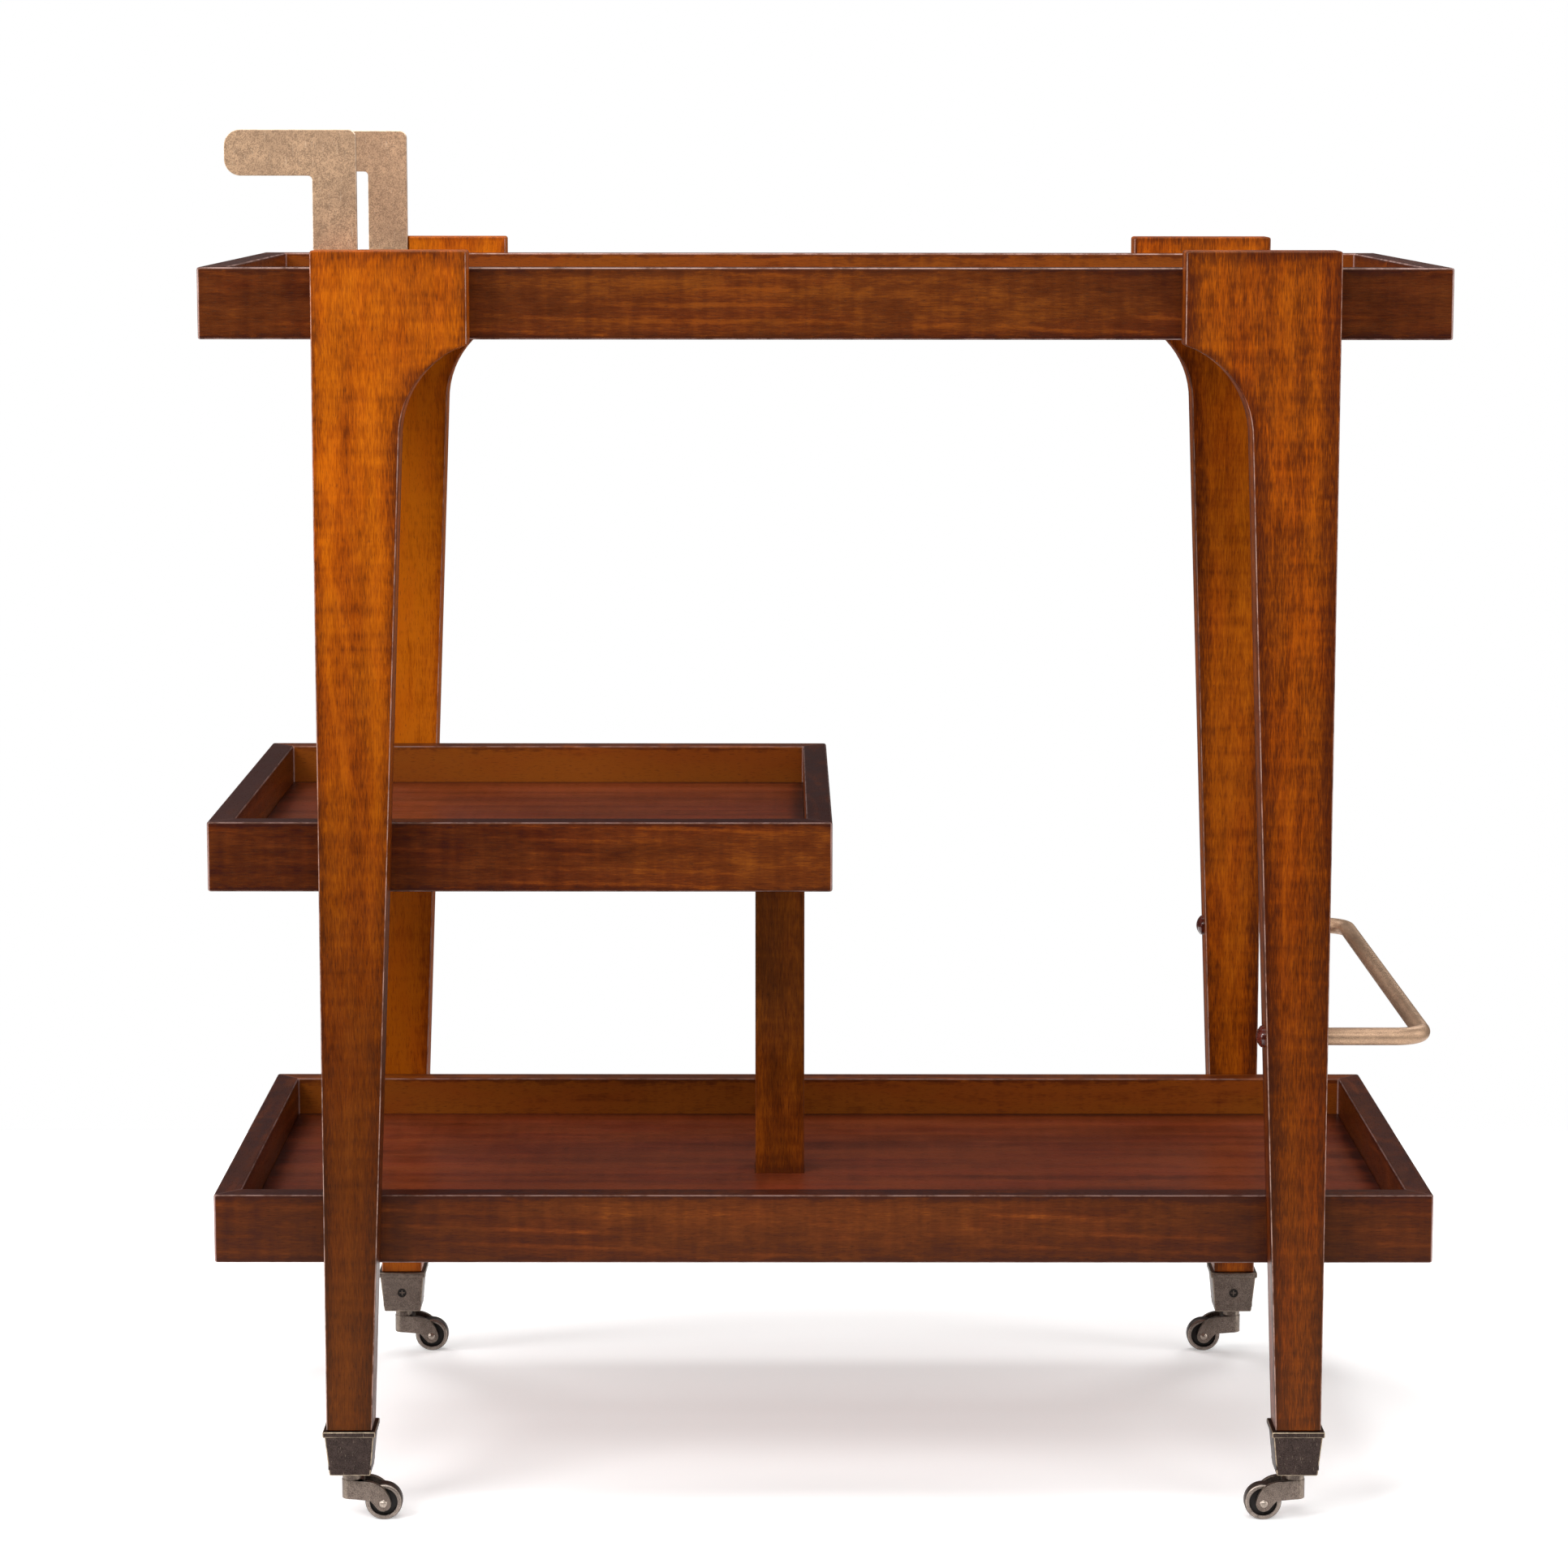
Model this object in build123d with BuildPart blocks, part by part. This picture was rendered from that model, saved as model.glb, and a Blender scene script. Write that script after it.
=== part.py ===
"""Three-tier wooden serving trolley on small swivel casters.

Millimetres. +X runs along the trolley to its towel-rail end, +Y to its back, +Z up.
The origin is on the floor, under the middle of the trolley.
"""

from build123d import *
from math import asin, cos, sin, sqrt
import os

os.makedirs("parts", exist_ok=True)

# ---- trays ----
tray_length = 850.0
tray_depth = 404.0
middle_tray_length = 430.5
rail_height = 48.6
rail_thickness = 18.0
top_rim = 869.0
middle_rim = 490.0
lower_rim = 227.5
floor_drop = 28.0
floor_thickness = 9.0
tongue = 6.0
tongue_thickness = 5.5
tongue_gap = 0.5
field_gap = 0.4
tray_corner_round = 2.5
tray_edge_round = 1.6

# ---- legs ----
leg_span = 690.6
leg_thickness = 32.0
leg_top = 881.0
leg_block_width = 104.6
leg_shaft_width = 58.4
cove_foot_height = 755.0
cove_radius = 66.0
leg_foot_width = 31.6
leg_edge_round = 1.3
leg_corner_round = 2.0

# ---- support post ----
post_width = 36.0
post_edge_round = 1.5
post_housing_depth = 2.0
post_housing_gap = 0.3

# ---- handle ----
plate_thickness = 6.0
plate_width = 29.6
arm_height = 30.8
arm_reach = 88.6
handle_top = 961.0
plate_from_leg_edge = 0.0
plate_bury = 80.0
plate_side_gap = 1.6
arm_end_round = 11.0
elbow_round = 5.5
elbow_inner_round = 3.0
plate_edge_round = 0.6
push_bar_diameter = 19.0
push_bar_wall = 1.5
push_bar_from_end = 15.4

# ---- towel rail ----
towel_rod_diameter = 12.2
towel_rail_height = 343.5
towel_rail_reach = 74.8
towel_bend_radius = 20.0
towel_bolt_diameter = 6.0
towel_bolt_grip = 15.0
bolt_head_diameter = 15.0
bolt_dome_height = 3.4
bolt_rim_height = 2.6
bolt_seat_depth = 0.4

# ---- casters ----
wheel_diameter = 26.0
wheel_width = 10.6
wheel_hub_width = 12.0
wheel_hub_diameter = 7.6
wheel_web_thickness = 5.0
wheel_web_diameter = 19.2
tread_round = 2.4
axle_diameter = 4.0
axle_head_diameter = 5.6
axle_head_height = 1.5
axle_running_gap = 0.05
caster_trail = 22.4
fork_hub_diameter = 13.8
fork_height = 13.5
fork_outer_width = 20.0
fork_slot_width = 12.4
fork_boss_radius = 5.4
fork_bottom_height = 15.4
wheel_slot_gap = 0.9
stem_diameter = 7.0
stem_running_gap = 0.05
swivel_gap = 0.3
cup_bottom_height = 34.5
cup_bottom_width = 28.6
cup_top_width = 34.2
cup_floor_thickness = 4.4
cup_wall = 2.2
flange_width = 36.8
flange_height = 4.0
flange_bevel = 1.2
leg_foot_height = 67.0
clip_diameter = 11.0
clip_thickness = 1.2
clip_room = 1.0

# ---- fasteners ----
tray_screw_diameter = 4.5
tray_screw_head = 8.0
tray_screw_bite = 20.0
plate_screw_diameter = 4.0
plate_screw_head = 7.6
plate_screw_length = 22.0
plate_screw_pitch = 30.0
plate_screw_drop = 21.0
cup_screw_diameter = 3.0
cup_screw_head = 6.8
cup_screw_length = 16.0
cup_screw_height = 50.0
cross_slot_depth = 0.9
cross_slot_width = 1.0
cross_slot_share = 0.62
post_screw_diameter = 4.5
post_screw_head = 8.4
post_screw_bite = 30.0
post_fixing_pitch = 18.0
dowel_diameter = 8.0
dowel_bite = 24.0
dowel_into_floor = 6.0

# ---- places worked out from the sizes above ----
half_length = tray_length / 2
half_depth = tray_depth / 2
leg_outer_x = leg_span / 2
block_inner_x = leg_outer_x - leg_block_width
shaft_inner_x = leg_outer_x - leg_shaft_width
foot_inner_x = leg_outer_x - leg_foot_width
leg_mid_y = half_depth + leg_thickness / 2
foot_mid_x = (leg_outer_x + foot_inner_x) / 2
cup_floor_height = cup_bottom_height + cup_floor_thickness
flange_bottom_height = leg_foot_height - flange_height
cup_cavity_top = cup_top_width - 2 * cup_wall
cup_cavity_bottom = cup_bottom_width - 2 * cup_wall
middle_right_x = -half_length + middle_tray_length
post_x = middle_right_x - rail_thickness - post_width / 2
lower_floor_top = lower_rim - floor_drop
post_bottom = lower_floor_top - post_housing_depth
post_top = middle_rim - floor_drop - floor_thickness
axle_height = wheel_diameter / 2
plate_outer_x = -leg_outer_x + plate_from_leg_edge
plate_bottom = leg_top - plate_bury
arm_end_x = plate_outer_x + plate_width - arm_reach
push_bar_x = arm_end_x + push_bar_from_end
push_bar_z = handle_top - arm_height / 2
towel_outer_x = leg_outer_x + towel_rail_reach
towel_centre_x = towel_outer_x - towel_rod_diameter / 2


def leg_inner_at(height):
    """Distance from the trolley's middle to a leg's tapered inner edge at a height."""
    drop = (cove_foot_height - height) / (cove_foot_height - leg_foot_height)
    return shaft_inner_x + drop * (foot_inner_x - shaft_inner_x)


def facing(origin, direction):
    """A plane at a point whose local Z looks along a direction."""
    return Plane(origin=origin, z_dir=direction)


# ---- screw and bolt shapes, head at the origin, driven along +Z ----
def dome_middle(radius, height):
    """Point halfway along the profile of a domed head: its radius and its rise."""
    sphere = (radius**2 + height**2) / (2 * height)
    half_angle = asin(radius / sphere) / 2
    return sphere * sin(half_angle), sphere * cos(half_angle) - (sphere - height)


def countersunk_screw(shank, head, length):
    head_depth = (head - shank) / 2
    with BuildPart() as screw:
        with BuildSketch(Plane.XZ):
            with BuildLine():
                Polyline(
                    (0, 0),
                    (head / 2, 0),
                    (shank / 2, head_depth),
                    (shank / 2, length - shank),
                    (0, length),
                    close=True,
                )
            make_face()
        revolve(axis=Axis.Z)
    return screw.part


def cut_cross_slots(planes, head):
    """Cross recesses in screw heads that lie in the given planes."""
    with Locations(*planes):
        Box(
            head * cross_slot_share,
            cross_slot_width,
            cross_slot_depth * 2,
            mode=Mode.SUBTRACT,
        )
        Box(
            cross_slot_width,
            head * cross_slot_share,
            cross_slot_depth * 2,
            mode=Mode.SUBTRACT,
        )


def write(part, name):
    part.label = name
    export_step(part, f"parts/{name}.step")


# ---- places of the tray screws: out of the skirt below each floor, into the legs ----
def tray_screw_planes(rim, sides):
    height = rim - (rail_height + floor_drop + floor_thickness) / 2
    if height > cove_foot_height:
        # the head of the leg: clear of the handle plate's channel
        inner = block_inner_x
        outer = leg_outer_x - plate_width - 2 * plate_side_gap
    else:
        inner = leg_inner_at(height)
        outer = leg_outer_x
    centre = (outer + inner) / 2
    pitch = (outer - inner) * 0.55
    planes = []
    for side_x in sides:
        for side_y in (-1, 1):
            for step in (-0.5, 0.5):
                x = side_x * centre + step * pitch
                y = side_y * (half_depth - rail_thickness)
                planes.append(facing((x, y, height), (0, side_y, 0)))
    return planes


top_screw_planes = tray_screw_planes(top_rim, (-1, 1))
middle_screw_planes = tray_screw_planes(middle_rim, (-1,))
lower_screw_planes = tray_screw_planes(lower_rim, (-1, 1))
tray_screw = countersunk_screw(
    tray_screw_diameter, tray_screw_head, rail_thickness + tray_screw_bite
)

# ---- places of the other fasteners ----
plate_mid_x = plate_outer_x + plate_width / 2
plate_screw_planes = [
    facing(
        (plate_mid_x, side_y * half_depth, leg_top - plate_screw_drop - row * plate_screw_pitch),
        (0, side_y, 0),
    )
    for side_y in (-1, 1)
    for row in (0, 1)
]
plate_screw = countersunk_screw(plate_screw_diameter, plate_screw_head, plate_screw_length)

cup_face_lean = (cup_top_width - cup_bottom_width) / 2 / (flange_bottom_height - cup_bottom_height)
cup_face_at_screw = cup_bottom_width / 2 + (cup_screw_height - cup_bottom_height) * cup_face_lean
cup_screw = countersunk_screw(cup_screw_diameter, cup_screw_head, cup_screw_length)
cup_screw_seat = 0.3


def cup_screw_plane(side_x, side_y):
    y = side_y * (leg_mid_y - cup_face_at_screw + cup_screw_seat)
    return facing((side_x * foot_mid_x, y, cup_screw_height), (0, side_y, 0))


towel_bolt_seat_x = leg_inner_at(towel_rail_height) + bolt_seat_depth
towel_bolt_length = leg_outer_x - towel_bolt_seat_x + towel_bolt_grip
towel_bolt_planes = [
    facing((towel_bolt_seat_x, side_y * leg_mid_y, towel_rail_height), (1, 0, 0))
    for side_y in (-1, 1)
]

post_fixings = [(post_x, -post_fixing_pitch / 2), (post_x, post_fixing_pitch / 2)]
post_screw_bottom = lower_floor_top - floor_thickness
post_screw = countersunk_screw(
    post_screw_diameter, post_screw_head, floor_thickness + post_screw_bite
)


# ---- legs: a board with a wide head, a hollow cove and a tapering shaft ----
def leg_outline(side_x):
    cove_x = shaft_inner_x - cove_radius
    cove_top = cove_foot_height + sqrt(cove_radius**2 - (block_inner_x - cove_x) ** 2)
    cove_rise = (cove_top - cove_foot_height) / 2
    cove_middle_x = cove_x + sqrt(cove_radius**2 - cove_rise**2)
    with BuildSketch() as outline:
        with BuildLine():
            Polyline(
                (side_x * shaft_inner_x, cove_foot_height),
                (side_x * foot_inner_x, leg_foot_height),
                (side_x * leg_outer_x, leg_foot_height),
                (side_x * leg_outer_x, leg_top),
                (side_x * block_inner_x, leg_top),
                (side_x * block_inner_x, cove_top),
            )
            ThreePointArc(
                (side_x * block_inner_x, cove_top),
                (side_x * cove_middle_x, cove_foot_height + cove_rise),
                (side_x * shaft_inner_x, cove_foot_height),
            )
        make_face()
        head_corners = outline.vertices().filter_by(lambda v: v.Y > cove_foot_height + 1)
        fillet(head_corners, radius=leg_corner_round)
    return outline.sketch


def make_leg(side_x, side_y, name):
    back_y = side_y * leg_mid_y + leg_thickness / 2
    spigot_length = leg_foot_height - cup_floor_height
    outline = leg_outline(side_x)
    with BuildPart() as leg:
        with BuildSketch(Plane.XZ.offset(-back_y)):
            add(outline)
        extrude(amount=leg_thickness)
        fillet(leg.edges(), radius=leg_edge_round)
        # reduced end that stands in the caster cup
        with BuildSketch(Plane.XY.offset(cup_floor_height)):
            with Locations((side_x * foot_mid_x, side_y * leg_mid_y)):
                Rectangle(cup_cavity_bottom, cup_cavity_bottom)
        with BuildSketch(Plane.XY.offset(leg_foot_height)):
            with Locations((side_x * foot_mid_x, side_y * leg_mid_y)):
                Rectangle(cup_cavity_top, cup_cavity_top)
        loft()
        # room for the swivel stem and its clip
        with Locations((side_x * foot_mid_x, side_y * leg_mid_y, cup_floor_height)):
            Cylinder(
                clip_diameter / 2 + clip_room,
                spigot_length / 2,
                align=(Align.CENTER, Align.CENTER, Align.MIN),
                mode=Mode.SUBTRACT,
            )
        # screws from the three trays and the caster cup
        screw_planes = top_screw_planes + middle_screw_planes + lower_screw_planes
        own_planes = [
            plane
            for plane in screw_planes
            if plane.origin.X * side_x > 0 and plane.origin.Y * side_y > 0
        ]
        with Locations(*own_planes):
            add(tray_screw, mode=Mode.SUBTRACT)
        with Locations(cup_screw_plane(side_x, side_y)):
            add(cup_screw, mode=Mode.SUBTRACT)
        if side_x < 0:
            # channel and screw holes for the handle plate
            channel_width = plate_width + 2 * plate_side_gap
            with Locations((plate_mid_x, side_y * half_depth, plate_bottom)):
                Box(
                    channel_width,
                    2 * plate_thickness,
                    plate_bury + 1,
                    align=(Align.CENTER, Align.CENTER, Align.MIN),
                    mode=Mode.SUBTRACT,
                )
            own_planes = [p for p in plate_screw_planes if p.origin.Y * side_y > 0]
            with Locations(*own_planes):
                add(plate_screw, mode=Mode.SUBTRACT)
        else:
            # bore and flat seat for the towel-rail bolt
            own_planes = [p for p in towel_bolt_planes if p.origin.Y * side_y > 0]
            with Locations(*own_planes):
                Cylinder(
                    towel_bolt_diameter / 2,
                    leg_block_width * 2,
                    mode=Mode.SUBTRACT,
                )
                Cylinder(
                    bolt_head_diameter / 2 + bolt_seat_depth,
                    (bolt_rim_height + bolt_dome_height) * 2,
                    align=(Align.CENTER, Align.CENTER, Align.MAX),
                    mode=Mode.SUBTRACT,
                )
    write(leg.part, name)


make_leg(-1, -1, "leg_front_left")
make_leg(1, -1, "leg_front_right")
make_leg(-1, 1, "leg_rear_left")
make_leg(1, 1, "leg_rear_right")


# ---- trays: four mitred rails round a floor panel held in a groove ----
def rail_wedge(left, right, side):
    """Plan of the quarter of a tray's rim that one mitred rail takes."""
    reach = rail_thickness + 1
    corner = {
        "left_front": (left - 1, -half_depth - 1),
        "right_front": (right + 1, -half_depth - 1),
        "right_rear": (right + 1, half_depth + 1),
        "left_rear": (left - 1, half_depth + 1),
    }
    inner = {
        "left_front": (left + reach, -half_depth + reach),
        "right_front": (right - reach, -half_depth + reach),
        "right_rear": (right - reach, half_depth - reach),
        "left_rear": (left + reach, half_depth - reach),
    }
    ends = {
        "front_rail": ("left_front", "right_front"),
        "rear_rail": ("right_rear", "left_rear"),
        "left_rail": ("left_rear", "left_front"),
        "right_rail": ("right_front", "right_rear"),
    }
    first, second = ends[side]
    with BuildSketch() as wedge:
        with BuildLine():
            Polyline(corner[first], corner[second], inner[second], inner[first], close=True)
        make_face()
    return wedge.sketch


def make_tray(tray, left, right, rim, screw_planes):
    length = right - left
    middle_x = (left + right) / 2
    floor_top = rim - floor_drop
    well_length = length - 2 * rail_thickness
    well_depth = tray_depth - 2 * rail_thickness
    tongue_height = floor_top - floor_thickness + tongue_thickness / 2
    for side in ("front_rail", "rear_rail", "left_rail", "right_rail"):
        wedge = rail_wedge(left, right, side)
        with BuildPart() as rail:
            with BuildSketch(Plane.XY.offset(rim - rail_height)):
                with Locations((middle_x, 0)):
                    RectangleRounded(length, tray_depth, tray_corner_round)
                    Rectangle(well_length, well_depth, mode=Mode.SUBTRACT)
            extrude(amount=rail_height)
            rim_edges = rail.edges().group_by(Axis.Z)[-1]
            foot_edges = rail.edges().group_by(Axis.Z)[0]
            fillet(rim_edges + foot_edges, radius=tray_edge_round)
            with Locations((middle_x, 0, tongue_height)):
                Box(
                    well_length + 2 * (tongue + tongue_gap),
                    well_depth + 2 * (tongue + tongue_gap),
                    tongue_thickness,
                    mode=Mode.SUBTRACT,
                )
            with BuildSketch(Plane.XY.offset(rim - rail_height)):
                add(wedge)
            extrude(amount=rail_height, mode=Mode.INTERSECT)
            side_y = {"front_rail": -1, "rear_rail": 1}.get(side, 0)
            own_planes = [p for p in screw_planes if p.origin.Y * side_y > 0]
            if own_planes:
                with Locations(*own_planes):
                    add(tray_screw, mode=Mode.SUBTRACT)
        write(rail.part, f"{tray}_tray_{side}")

    with BuildPart() as floor:
        # raised field between the rails, and a tongue round it in their grooves
        with Locations((middle_x, 0, floor_top - floor_thickness / 2)):
            Box(well_length - 2 * field_gap, well_depth - 2 * field_gap, floor_thickness)
        with Locations((middle_x, 0, tongue_height)):
            Box(well_length + 2 * tongue, well_depth + 2 * tongue, tongue_thickness)
        if tray == "middle":
            with Locations(*[(x, y, post_top) for x, y in post_fixings]):
                Cylinder(
                    dowel_diameter / 2,
                    dowel_into_floor,
                    align=(Align.CENTER, Align.CENTER, Align.MIN),
                    mode=Mode.SUBTRACT,
                )
        if tray == "lower":
            # square housing that the foot of the post stands in
            housing_width = post_width + 2 * post_housing_gap
            with BuildSketch(Plane.XY.offset(post_bottom)):
                with Locations((post_x, 0)):
                    RectangleRounded(
                        housing_width, housing_width, post_edge_round + post_housing_gap
                    )
            extrude(amount=post_housing_depth, mode=Mode.SUBTRACT)
            with Locations(*[(x, y, post_screw_bottom) for x, y in post_fixings]):
                add(post_screw, mode=Mode.SUBTRACT)
    write(floor.part, f"{tray}_tray_floor")

    with BuildPart() as screws:
        with Locations(*screw_planes):
            add(tray_screw)
        cut_cross_slots(screw_planes, tray_screw_head)
    write(screws.part, f"{tray}_tray_screws")


make_tray("top", -half_length, half_length, top_rim, top_screw_planes)
make_tray("middle", -half_length, middle_right_x, middle_rim, middle_screw_planes)
make_tray("lower", -half_length, half_length, lower_rim, lower_screw_planes)

# ---- support post between the lower and the middle floor ----
with BuildPart() as post:
    with BuildSketch(Plane.XY.offset(post_bottom)):
        with Locations((post_x, 0)):
            RectangleRounded(post_width, post_width, post_edge_round)
    extrude(amount=post_top - post_bottom)
    with Locations(*[(x, y, post_screw_bottom) for x, y in post_fixings]):
        add(post_screw, mode=Mode.SUBTRACT)
    with Locations(*[(x, y, post_top) for x, y in post_fixings]):
        Cylinder(
            dowel_diameter / 2,
            dowel_bite,
            align=(Align.CENTER, Align.CENTER, Align.MAX),
            mode=Mode.SUBTRACT,
        )
write(post.part, "support_post")

with BuildPart() as post_screws:
    with Locations(*[(x, y, post_screw_bottom) for x, y in post_fixings]):
        add(post_screw)
    cut_cross_slots(
        [facing((x, y, post_screw_bottom), (0, 0, 1)) for x, y in post_fixings], post_screw_head
    )
write(post_screws.part, "post_screws")

with BuildPart() as post_dowels:
    with Locations(*[(x, y, post_top - dowel_bite) for x, y in post_fixings]):
        Cylinder(
            dowel_diameter / 2,
            dowel_bite + dowel_into_floor,
            align=(Align.CENTER, Align.CENTER, Align.MIN),
        )
write(post_dowels.part, "post_dowels")


# ---- handle: two flat plates with an arm, joined by a round push bar ----
def make_handle_plate(side_y, name):
    outer_y = side_y * (half_depth + plate_thickness / 2) + plate_thickness / 2
    arm_bottom = handle_top - arm_height
    stem_right = plate_outer_x + plate_width
    with BuildPart() as plate:
        with BuildSketch(Plane.XZ.offset(-outer_y)) as outline:
            with BuildLine():
                Polyline(
                    (plate_outer_x, plate_bottom),
                    (stem_right, plate_bottom),
                    (stem_right, handle_top),
                    (arm_end_x, handle_top),
                    (arm_end_x, arm_bottom),
                    (plate_outer_x, arm_bottom),
                    close=True,
                )
            make_face()
            fillet(outline.vertices().group_by(Axis.X)[0], radius=arm_end_round)
            elbow = outline.vertices().group_by(Axis.Y)[-1].sort_by(Axis.X)[-1]
            fillet(elbow, radius=elbow_round)
        extrude(amount=plate_thickness)
        inner_edge = (
            plate.edges()
            .filter_by(Axis.Y)
            .filter_by(lambda e: abs(e.center().X - plate_outer_x) < 0.01)
            .filter_by(lambda e: abs(e.center().Z - arm_bottom) < 0.01)
        )
        fillet(inner_edge, radius=elbow_inner_round)
        faces = plate.faces().filter_by(Axis.Y)
        fillet(faces.edges(), radius=plate_edge_round)
        own_planes = [p for p in plate_screw_planes if p.origin.Y * side_y > 0]
        with Locations(*own_planes):
            add(plate_screw, mode=Mode.SUBTRACT)
    write(plate.part, name)


make_handle_plate(-1, "handle_plate_front")
make_handle_plate(1, "handle_plate_rear")

with BuildPart() as push_bar:
    with BuildSketch(Plane.XZ.offset(-half_depth)):
        with Locations((push_bar_x, push_bar_z)):
            Circle(push_bar_diameter / 2)
            Circle(push_bar_diameter / 2 - push_bar_wall, mode=Mode.SUBTRACT)
    extrude(amount=tray_depth)
write(push_bar.part, "push_bar")

with BuildPart() as plate_screws:
    with Locations(*plate_screw_planes):
        add(plate_screw)
    cut_cross_slots(plate_screw_planes, plate_screw_head)
write(plate_screws.part, "handle_plate_screws")

# ---- towel rail: a round rod bent to a U, bolted through the right legs ----
with BuildPart() as towel_rail:
    with BuildLine() as rod_path:
        FilletPolyline(
            (leg_outer_x, -leg_mid_y, towel_rail_height),
            (towel_centre_x, -leg_mid_y, towel_rail_height),
            (towel_centre_x, leg_mid_y, towel_rail_height),
            (leg_outer_x, leg_mid_y, towel_rail_height),
            radius=towel_bend_radius,
        )
    with BuildSketch(facing((leg_outer_x, -leg_mid_y, towel_rail_height), (1, 0, 0))):
        Circle(towel_rod_diameter / 2)
    sweep(path=rod_path.line)
    with Locations(*towel_bolt_planes):
        Cylinder(
            towel_bolt_diameter / 2,
            towel_bolt_length,
            align=(Align.CENTER, Align.CENTER, Align.MIN),
            mode=Mode.SUBTRACT,
        )
write(towel_rail.part, "towel_rail")

bolt_dome = dome_middle(bolt_head_diameter / 2, bolt_dome_height)
with BuildPart() as towel_bolt:
    Cylinder(
        towel_bolt_diameter / 2,
        towel_bolt_length,
        align=(Align.CENTER, Align.CENTER, Align.MIN),
    )
    with BuildSketch(Plane.XZ):
        with BuildLine():
            Line((0, 0), (bolt_head_diameter / 2, 0))
            Line((bolt_head_diameter / 2, 0), (bolt_head_diameter / 2, -bolt_rim_height))
            ThreePointArc(
                (bolt_head_diameter / 2, -bolt_rim_height),
                (bolt_dome[0], -bolt_rim_height - bolt_dome[1]),
                (0, -bolt_rim_height - bolt_dome_height),
            )
            Line((0, -bolt_rim_height - bolt_dome_height), (0, 0))
        make_face()
    revolve(axis=Axis.Z)

with BuildPart() as towel_bolts:
    with Locations(*towel_bolt_planes):
        add(towel_bolt.part)
write(towel_bolts.part, "towel_rail_bolts")


# ---- casters: a square cup on the leg, a swivelling fork, an axle and a wheel ----
def make_cup(side_x, side_y, name):
    centre = (side_x * foot_mid_x, side_y * leg_mid_y)
    with BuildPart() as cup:
        for height, width in (
            (cup_bottom_height, cup_bottom_width),
            (flange_bottom_height, cup_top_width),
        ):
            with BuildSketch(Plane.XY.offset(height)):
                with Locations(centre):
                    Rectangle(width, width)
        loft()
        fillet(cup.edges().filter_by(Axis.Z, reverse=True).group_by(Axis.Z)[0], radius=1.2)
        with BuildSketch(Plane.XY.offset(flange_bottom_height)):
            with Locations(centre):
                RectangleRounded(flange_width, flange_width, flange_bevel)
        extrude(amount=flange_height)
        chamfer(cup.faces().sort_by(Axis.Z)[-1].edges(), length=flange_bevel)
        for height, width in (
            (cup_floor_height, cup_cavity_bottom),
            (leg_foot_height, cup_cavity_top),
        ):
            with BuildSketch(Plane.XY.offset(height)):
                with Locations(centre):
                    Rectangle(width, width)
        loft(mode=Mode.SUBTRACT)
        with Locations((*centre, cup_bottom_height)):
            Cylinder(
                stem_diameter / 2 + stem_running_gap,
                cup_floor_thickness * 3,
                mode=Mode.SUBTRACT,
            )
        with Locations(cup_screw_plane(side_x, side_y)):
            add(cup_screw, mode=Mode.SUBTRACT)
            Cylinder(
                cup_screw_head / 2,
                cup_screw_head,
                align=(Align.CENTER, Align.CENTER, Align.MAX),
                mode=Mode.SUBTRACT,
            )
    write(cup.part, name)


def fork_side_view(centre_x, trail):
    """Outline of one horn of the fork, seen from the side."""
    hub = fork_hub_diameter / 2
    fork_top = fork_bottom_height + fork_height
    sign = 1 if trail > 0 else -1
    axle_x = abs(trail)
    shoulder = axle_x * 0.38
    boss_edge = axle_x + fork_boss_radius * 0.98
    bow_x = axle_x + fork_boss_radius * 0.08
    bow_z = axle_height + (fork_top - axle_height) * 0.66
    boss_edge_z = axle_height + fork_boss_radius * 0.2
    with BuildSketch() as view:
        with BuildLine():
            ThreePointArc(
                (centre_x + sign * shoulder, fork_top),
                (centre_x + sign * bow_x, bow_z),
                (centre_x + sign * boss_edge, boss_edge_z),
            )
            Polyline(
                (centre_x + sign * boss_edge, boss_edge_z),
                (centre_x + sign * axle_x, axle_height),
                (centre_x + sign * (axle_x - fork_boss_radius * 0.8), axle_height - fork_boss_radius * 0.6),
                (centre_x + sign * (axle_x - fork_boss_radius * 1.7), fork_bottom_height),
                (centre_x - sign * hub, fork_bottom_height),
                (centre_x - sign * hub, fork_top),
                (centre_x + sign * shoulder, fork_top),
            )
        make_face()
        with Locations((centre_x + trail, axle_height)):
            Circle(fork_boss_radius)
    return view.sketch


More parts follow.
